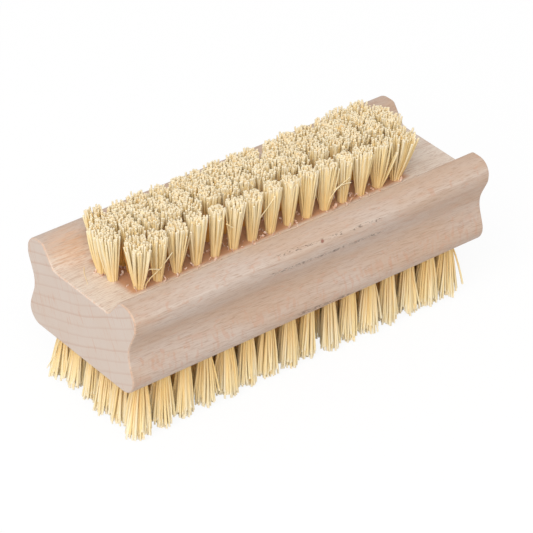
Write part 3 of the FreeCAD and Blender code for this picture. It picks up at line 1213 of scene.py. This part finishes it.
@dataclass
class TuftField:
    """All tufts of one face, a piece for each row. Sizes are in millimetres."""

    face: Face
    rows: int
    bristle_length: float
    shortest: float
    longest: float
    tip_along: float
    tip_across: float
    near_splay: float
    far_splay: float
    side_splay: float
    corner_flare: float
    inner_fill: float
    # Share of the painted golden shade that the outermost tufts take.
    outer_shade: float
    sway: float
    crown: float
    stray_share: float
    seed: int
    stem_radius: float
    fibres: int = 100
    fibre_radius: float = 0.21
    tip_jitter: float = 0.38
    bow: float = 0.2
    stray_reach: float = 1.5
    flare: float = 0.8
    end_power: int = 7
    side_power: int = 3

    @property
    def side(self) -> str:
        """Word for this face in the names of its nodes."""
        return self.face.name.lower()

    def mouth_level(self) -> float:
        """Height of the hole mouths in metres."""
        lowest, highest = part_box(f"{self.side}_tufts_row_1_left")
        tips = highest.z if self.face is Face.TOP else lowest.z
        return tips - self.face.value * self.bristle_length * MM

    def root_depth(self) -> float:
        """Depth from the hole mouths to the wire that holds the tufts, in metres."""
        lowest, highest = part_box(f"{self.side}_anchors_row_1")
        wire = highest.z if self.face is Face.TOP else lowest.z
        return abs(self.mouth_level() - wire)

    def mouths(self, row: int) -> list[Vector]:
        """Centres of a row's hole mouths, each over the wire anchor in its hole.

        Args:
            row: Number of the row.

        Returns:
            The centres in metres, along the row.
        """
        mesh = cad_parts[f"{self.side}_anchors_row_{row}"].data
        lowest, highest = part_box(f"{self.side}_anchors_row_{row}")
        sides = ([mesh.vertices[corner].co.x for corner in side.vertices] for side in mesh.polygons)
        wires = []
        for start, end in sorted((min(places), max(places)) for places in sides):
            if wires and start <= wires[-1][1]:
                wires[-1][1] = max(wires[-1][1], end)
            else:
                wires.append([start, end])
        middle, level = (lowest.y + highest.y) / 2, self.mouth_level()
        return [Vector(((start + end) / 2, middle, level)) for start, end in wires]

    def build(self, tree: GeometryTree, material: bpy.types.Material) -> list[bpy.types.Object]:
        """Make every row of tufts.

        Args:
            tree: The tree that makes fibres.
            material: The fibres' material.

        Returns:
            The pieces.
        """
        rows = [self.mouths(number) for number in range(1, self.rows + 1)]
        return [self._row(number, row, rows, tree, material) for number, row in enumerate(rows, start=1)]

    def _row(self, number: int, row: list[Vector], rows: list[list[Vector]], tree: GeometryTree,
             material: bpy.types.Material) -> bpy.types.Object:
        """Make one row of tufts.

        Args:
            number: Number of the row.
            row: Its hole mouths.
            rows: The hole mouths of all rows.
            tree: The tree that makes fibres.
            material: The fibres' material.

        Returns:
            The piece.
        """
        name = f"{self.side}_bristles_row_{number}"
        source = points_mesh(name + "_mouths", row)
        for key, kind in TUFT_ATTRIBUTES.items():
            source.attributes.new(key, kind, "POINT")
        leans, widths, shades = (source.attributes[key].data for key in TUFT_ATTRIBUTES)
        for lean, width, shade, mouth in zip(leans, widths, shades, row):
            along, across = (self._share(mouth, rows, axis) for axis in (0, 1))
            lean.vector = self._lean(along, across)
            corner = abs(along) ** self.end_power * abs(across) ** self.side_power
            width.value = (1.0 if number == 1 else self.inner_fill) + self.corner_flare * corner
            # Painted shade: inner tufts take the full golden shade of the field's depth, the outermost only
            # outer_shade.
            outermost = number in (1, self.rows) or mouth in (row[0], row[-1])
            shade.value = self.outer_shade if outermost else 1.0
        piece = tree.run(name, source, {
            "Fibres": self.fibres, "Root Depth": self.root_depth(), "Facing": float(self.face.value),
            "Stray Share": self.stray_share, "Flare": self.flare, "Seed": self.seed * 100 + number * 20,
            "Material": material, **self._lengths(),
        })
        settle(piece)
        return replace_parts(piece, *(f"{self.side}_tufts_row_{number}_{half}" for half in ("left", "right")))

    def _lengths(self) -> dict[str, float]:
        """Lengths of the tree's inputs, by their names, in metres."""
        fields = (
            "stem_radius", "tip_along", "tip_across", "shortest", "longest", "fibre_radius", "tip_jitter",
            "sway", "bow", "stray_reach", "crown",
        )
        return {field.replace("_", " ").title(): getattr(self, field) * MM for field in fields}

    @staticmethod
    def _share(mouth: Vector, rows: list[list[Vector]], axis: int) -> float:
        """Place of a tuft in its field, from -1 at one edge to 1 at the other.

        Args:
            mouth: The tuft's hole mouth.
            rows: All hole mouths of the face.
            axis: 0 along the rows or 1 across them.

        Returns:
            The place, which is 0 in the middle.
        """
        places = [other[axis] for row in rows for other in row]
        middle = (min(places) + max(places)) / 2
        return (mouth[axis] - middle) / (max(places) - middle)

    def _lean(self, along: float, across: float) -> Vector:
        """Outward lean of a tuft's tips, the most at the edges of the field.

        Args:
            along: The tuft's place along the field.
            across: Its place across the field.

        Returns:
            The lean in metres.
        """
        most = self.near_splay if along < 0 else self.far_splay
        end = math.copysign(most * abs(along) ** self.end_power, along)
        side = math.copysign(self.side_splay * abs(across) ** self.side_power, across)
        return Vector((end, side, 0.0)) * MM


@dataclass
class MouthSplinters:
    """Curled splinters that the drill left round the upper holes. Sizes are in millimetres."""

    splinters: int = 6
    nearest: float = 1.3
    furthest: float = 2.3
    least_curl: float = 0.22
    most_curl: float = 0.55
    width: float = 0.5
    thickness: float = 0.09
    seed: int = 41

    def build(self, field: TuftField, tree: GeometryTree, material: bpy.types.Material) -> bpy.types.Object:
        """Leave splinters round the holes of a face.

        Args:
            field: The tufts whose holes these are.
            tree: The tree that makes splinters.
            material: The splinters' material.

        Returns:
            The piece.
        """
        mouths = [mouth for number in range(1, field.rows + 1) for mouth in field.mouths(number)]
        name = f"{field.side}_hole_splinters"
        piece = tree.run(name, points_mesh(name + "_mouths", mouths), {
            "Splinters": self.splinters, "Nearest": self.nearest * MM, "Furthest": self.furthest * MM,
            "Least Curl": self.least_curl * MM, "Most Curl": self.most_curl * MM, "Width": self.width * MM,
            "Thickness": self.thickness * MM, "Facing": float(field.face.value), "Seed": self.seed,
            "Material": material,
        })
        return settle(piece)


# The thin hair that lies in the channel, a chain of points in millimetres.
CHANNEL_HAIR = ((-41.7, 6.6, 30.58), (-42.9, 4.9, 30.58), (-43.9, 2.9, 30.58), (-44.8, 1.0, 30.58))


@dataclass
class LooseFibres:
    """Single fibres that bend out of their tufts, each a chain of points in millimetres."""

    chains: tuple[tuple[Point, ...], ...] = (
        ((-36.2, -6.6, 29.0), (-35.8, -7.0, 32.0), (-32.6, -7.4, 34.4), (-29.8, -7.5, 37.1)),
        ((-36.6, -6.4, 29.0), (-36.2, -7.0, 34.6), (-34.9, -7.5, 35.0), (-33.3, -7.6, 34.4)),
        ((-14.9, 7.0, 29.0), (-14.7, 7.6, 36.0), (-14.5, 8.0, 42.6)),
        ((-12.6, 6.6, 29.0), (-12.5, 7.4, 38.0), (-13.4, 8.0, 42.5)),
        ((-7.6, -6.6, 29.0), (-7.5, -7.1, 34.9), (-5.4, -7.4, 37.7), (-3.0, -7.5, 40.3)),
        ((12.0, -6.5, 29.0), (11.9, -7.1, 32.4), (13.4, -7.4, 35.2), (17.3, -7.5, 37.2)),
        ((12.2, -6.2, 29.0), (12.3, -7.0, 34.4), (15.0, -7.4, 36.0), (17.6, -7.6, 35.8)),
        ((31.4, -6.2, 29.0), (31.6, -6.6, 32.2), (32.4, -6.8, 35.2), (34.2, -6.9, 39.4)),
        ((-15.9, -7.5, 38.5), (-15.1, -7.65, 37.8), (-14.4, -7.7, 37.1)),
        ((-42.2, 11.8, 15.0), (-44.4, 11.9, 10.5), (-45.6, 12.5, 5.3)),
        ((-42.0, 12.6, 15.0), (-44.6, 12.7, 7.5), (-45.8, 14.6, 2.2)),
    )
    name: str = "loose_fibres"
    fibre_radius: float = 0.15
    seed: int = 57

    def build(self, tree: GeometryTree, material: bpy.types.Material) -> bpy.types.Object:
        """Make the fibres.

        Args:
            tree: The tree that makes fibres of chains.
            material: The fibres' material.

        Returns:
            The piece.
        """
        points = []
        edges = []
        for chain in self.chains:
            first = len(points)
            points += [Vector(point) * MM for point in chain]
            edges += [(index, index + 1) for index in range(first, len(points) - 1)]
        piece = tree.run(self.name, points_mesh(self.name + "_chains", points, edges), {
            "Fibre Radius": self.fibre_radius * MM, "Seed": self.seed, "Material": material,
        })
        return settle(piece)


@dataclass
class Studio:
    """Pale floor, soft light and the camera. Sizes are in millimetres, angles in degrees, power in watts."""

    floor_width: float = 4000.0
    floor_tone: float = 0.74
    floor_shadow: float = 0.14
    floor_glow: float = 1.05
    sky_strength: float = 0.56
    key_power: float = 20.5
    key_width: float = 1400.0
    key_place: Point = (-1000.0, -700.0, 1150.0)
    azimuth: float = -39.848
    elevation: float = 34.275
    roll: float = 1.76
    distance: float = 663.3
    aim: Point = (-1.28, -3.24, 19.65)
    sensor_width: float = 36.0
    lens: float = 211.76

    def build(self) -> None:
        """Set up the floor, the light, the camera and the view."""
        self._floor()
        self._sky()
        self._key()
        self._camera()
        bpy.context.scene.view_settings.view_transform = "Standard"

    @staticmethod
    def _seen(graph: Graph) -> bpy.types.NodeSocket:
        """One for rays that show the background, straight or by a mirror or glass, and else zero."""
        path = graph.add("ShaderNodeLightPath").outputs
        seen = graph.math("MAXIMUM", path["Is Camera Ray"], path["Is Glossy Ray"])
        return graph.math("MAXIMUM", seen, path["Is Transmission Ray"])

    def _floor(self) -> None:
        """White floor that shows the brush's shadow faintly, and is open from below."""
        half = self.floor_width / 2 * MM
        corners = [(-half, -half, 0.0), (half, -half, 0.0), (half, half, 0.0), (-half, half, 0.0)]
        mesh = bpy.data.meshes.new("floor")
        mesh.from_pydata(corners, [], [(0, 1, 2, 3)])
        floor = bpy.data.objects.new("floor", mesh)
        bpy.context.scene.collection.objects.link(floor)
        material = bpy.data.materials.new("white_floor")
        material.use_nodes = True
        material.node_tree.nodes.clear()
        graph = Graph(material.node_tree)
        tone = (self.floor_tone, self.floor_tone, self.floor_tone, 1.0)
        matt = graph.add("ShaderNodeBsdfDiffuse", {"Color": tone}).outputs[0]
        white = graph.add("ShaderNodeEmission", {"Strength": self.floor_glow}).outputs[0]
        share = graph.product(self._seen(graph), 1.0 - self.floor_shadow)
        shown = graph.add("ShaderNodeMixShader", {0: share, 1: matt, 2: white}).outputs[0]
        clear = graph.add("ShaderNodeBsdfTransparent").outputs[0]
        below = graph.add("ShaderNodeNewGeometry").outputs["Backfacing"]
        mixed = graph.add("ShaderNodeMixShader", {0: below, 1: shown, 2: clear}).outputs[0]
        graph.add("ShaderNodeOutputMaterial", {"Surface": mixed})
        mesh.materials.append(material)

    def _sky(self) -> None:
        """Even soft light from all round, and a white background."""
        world = bpy.data.worlds.new("studio")
        world.use_nodes = True
        world.node_tree.nodes.clear()
        graph = Graph(world.node_tree)
        seen = self._seen(graph)
        strength = graph.math("MAXIMUM", seen, self.sky_strength)
        inputs = {"Color": (1.0, 1.0, 1.0, 1.0), "Strength": strength}
        back = graph.add("ShaderNodeBackground", inputs).outputs[0]
        graph.add("ShaderNodeOutputWorld", {"Surface": back})
        bpy.context.scene.world = world

    def _key(self) -> None:
        """Large soft lamp above the camera and a little to its left."""
        lamp = bpy.data.lights.new("overhead", "AREA")
        lamp.size = self.key_width * MM
        lamp.energy = self.key_power
        piece = bpy.data.objects.new("overhead", lamp)
        piece.location = Vector(self.key_place) * MM
        piece.rotation_euler = (Vector(self.aim) * MM - piece.location).to_track_quat("-Z", "Y").to_euler()
        bpy.context.scene.collection.objects.link(piece)

    def _camera(self) -> None:
        """Camera at the photograph's angle."""
        turn, lift, roll = (math.radians(angle) for angle in (self.azimuth, self.elevation, self.roll))
        back = Vector((math.sin(turn) * math.cos(lift), -math.cos(turn) * math.cos(lift), math.sin(lift)))
        level = Vector((math.cos(turn), math.sin(turn), 0.0))
        up = back.cross(level)
        right = level * math.cos(roll) + up * math.sin(roll)
        top = up * math.cos(roll) - level * math.sin(roll)
        data = bpy.data.cameras.new("camera")
        data.sensor_width = self.sensor_width
        data.lens = self.lens
        camera = bpy.data.objects.new("camera", data)
        axes = Matrix((right, top, back)).transposed()
        place = (Vector(self.aim) + back * self.distance) * MM
        camera.matrix_world = Matrix.Translation(place) @ axes.to_4x4()
        bpy.context.scene.collection.objects.link(camera)
        bpy.context.scene.camera = camera


def main() -> None:
    """Build the brush and its studio."""
    logging.basicConfig(level=logging.INFO, format="%(message)s")
    effects = Effects()
    fibre = FibreFinish().material(effects)
    steel = WireFinish().material(effects)
    BeechBlock().build(BeechFinish(), effects)
    top = TuftField(
        face=Face.TOP, rows=4, bristle_length=11.2, shortest=10.3, longest=12.05, tip_along=1.85,
        tip_across=1.9, near_splay=0.8, far_splay=0.8, side_splay=0.2, corner_flare=1.1, inner_fill=1.2,
        outer_shade=0.0, sway=0.3, crown=0.35, stray_share=0.05, seed=3, stem_radius=0.84,
    )
    # The outermost lower tufts take a quarter of the painted golden shade, as the block shades them.
    bottom = TuftField(
        face=Face.BOTTOM, rows=6, bristle_length=14.0, shortest=11.2, longest=13.98, tip_along=2.2,
        tip_across=2.1, near_splay=1.3, far_splay=0.2, side_splay=0.5, corner_flare=0.3, inner_fill=1.0,
        outer_shade=0.25, sway=0.3, crown=0.25, stray_share=0.06, seed=8, stem_radius=1.1,
    )
    fibres = tuft_tree(FibreHabit())
    for field in (top, bottom):
        field.build(fibres, fibre)
        for number in range(1, field.rows + 1):
            dress(f"{field.side}_anchors_row_{number}", steel)
    MouthSplinters().build(top, splinter_tree(), SplinterFinish().material(effects))
    chains = loose_fibre_tree()
    LooseFibres().build(chains, fibre)
    LooseFibres(chains=(CHANNEL_HAIR,), name="channel_hair", fibre_radius=0.07).build(chains, fibre)
    Studio().build()


if __name__ == "__main__":
    main()
